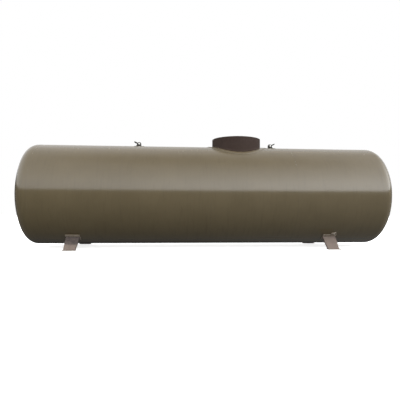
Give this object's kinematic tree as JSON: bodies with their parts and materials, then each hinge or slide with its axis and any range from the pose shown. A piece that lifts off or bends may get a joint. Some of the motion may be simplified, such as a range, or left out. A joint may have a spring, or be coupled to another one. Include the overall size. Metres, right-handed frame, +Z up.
{
  "type": "horizontal air receiver tank",
  "caption": "Horizontal dished-end pressure tank on plate feet, with a wide collar around a bolted manway cover that carries its valves, gauge and drain tube, and lifting lugs with shackles.",
  "frame": {"origin": "on the ground, under the middle of the tank", "axes": "+X along the tank axis towards the collar, +Z up, the seen side faces -Y"},
  "size_m": [7.543, 2, 2.3486],
  "materials": {
    "tank_paint": "satin olive-brown paint over rolled plate",
    "collar_paint": "satin dark brown paint",
    "foot_paint": "matt weathered grey-brown primer",
    "lug_paint": "satin dark paint, worn in the eye",
    "galvanised": "hot-dip galvanised, dull",
    "gasket_rubber": "plain black sheet",
    "bare_steel": "machined",
    "zinc_steel": "zinc plated",
    "brass": "cast and machined",
    "grip_vinyl": "dipped vinyl",
    "dial_white": "matt white",
    "pointer_black": "matt black",
    "gauge_glass": "clear"
  },
  "bodies": {
    "tank": {"collar_rim_ring": "collar_paint", "collar_wall": "collar_paint", "foot_base_left_front": "foot_paint", "foot_base_left_rear": "foot_paint", "foot_base_right_front": "foot_paint", "foot_base_right_rear": "foot_paint", "foot_channel_left_front": "foot_paint", "foot_channel_left_rear": "foot_paint", "foot_channel_right_front": "foot_paint", "foot_channel_right_rear": "foot_paint", "foot_pad_left_front": "foot_paint", "foot_pad_left_rear": "foot_paint", "foot_pad_right_front": "foot_paint", "foot_pad_right_rear": "foot_paint", "head_left": "tank_paint", "head_right": "tank_paint", "lifting_lug_left": "lug_paint", "lifting_lug_right": "lug_paint", "lug_pad_left": "tank_paint", "lug_pad_right": "tank_paint", "manway_flange": "collar_paint", "manway_gasket": "gasket_rubber", "manway_neck": "tank_paint", "name_plate": "bare_steel", "reinforcing_pad": "tank_paint", "shell_course_1": "tank_paint", "shell_course_2": "tank_paint", "shell_course_3": "tank_paint", "shell_course_4": "tank_paint"},
    "manway_lid": {"manway_cover": "collar_paint", "cover_handle_front": "collar_paint", "cover_handle_rear": "collar_paint", "inlet_pipe": "bare_steel", "inlet_flange": "bare_steel", "outlet_pipe": "bare_steel", "outlet_valve_body": "brass", "drain_dip_tube": "bare_steel", "drain_valve_body": "brass", "relief_pipe": "bare_steel", "relief_valve_body": "brass", "relief_valve_bonnet": "brass", "relief_valve_spring": "bare_steel", "gauge_stem": "brass", "gauge_case": "bare_steel", "gauge_dial": "dial_white", "gauge_glass": "gauge_glass"},
    "outlet_handle": {"outlet_valve_ball": "bare_steel", "outlet_valve_lever": "zinc_steel", "outlet_valve_grip": "grip_vinyl"},
    "drain_handle": {"drain_valve_ball": "bare_steel", "drain_valve_lever": "zinc_steel", "drain_valve_grip": "grip_vinyl"},
    "relief_spindle": {"relief_valve_spindle": "bare_steel"},
    "gauge_needle": {"gauge_pointer": "pointer_black"},
    "left_shackle": {"shackle_bow_left": "galvanised", "shackle_pin_left": "galvanised", "shackle_nut_left": "galvanised"},
    "right_shackle": {"shackle_bow_right": "galvanised", "shackle_pin_right": "galvanised", "shackle_nut_right": "galvanised"}
  },
  "joints": [
    {"name": "manway_lift", "type": "slide", "parent": "tank", "child": "manway_lid", "axis": [0, 0, 1], "range_m": [0, 2.2]},
    {"name": "outlet_valve_turn", "type": "hinge", "parent": "manway_lid", "child": "outlet_handle", "pos_m": [0.61, 0.15, 2.2639], "axis": [0, -1, 0], "range_deg": [0, 90]},
    {"name": "drain_valve_turn", "type": "hinge", "parent": "manway_lid", "child": "drain_handle", "pos_m": [0.69, 0, 2.2459], "axis": [0, -1, 0], "range_deg": [0, 90]},
    {"name": "relief_lift", "type": "slide", "parent": "manway_lid", "child": "relief_spindle", "axis": [0, 0, 1], "range_m": [0, 0.004], "stiffness_N_per_m": 8000, "deforming": ["relief_valve_spring"]},
    {"name": "gauge_pointer_turn", "type": "hinge", "parent": "manway_lid", "child": "gauge_needle", "pos_m": [0.455, 0, 2.2646], "axis": [0, 0, -1], "range_deg": [0, 270], "stiffness_Nm_per_rad": 0.0005},
    {"name": "left_shackle_swing", "type": "hinge", "parent": "tank", "child": "left_shackle", "pos_m": [-1.409, 0, 2.137], "axis": [0, 1, 0], "range_deg": [-43, 173]},
    {"name": "right_shackle_swing", "type": "hinge", "parent": "tank", "child": "right_shackle", "pos_m": [1.36, 0, 2.137], "axis": [0, 1, 0], "range_deg": [-173, 43]}
  ]
}
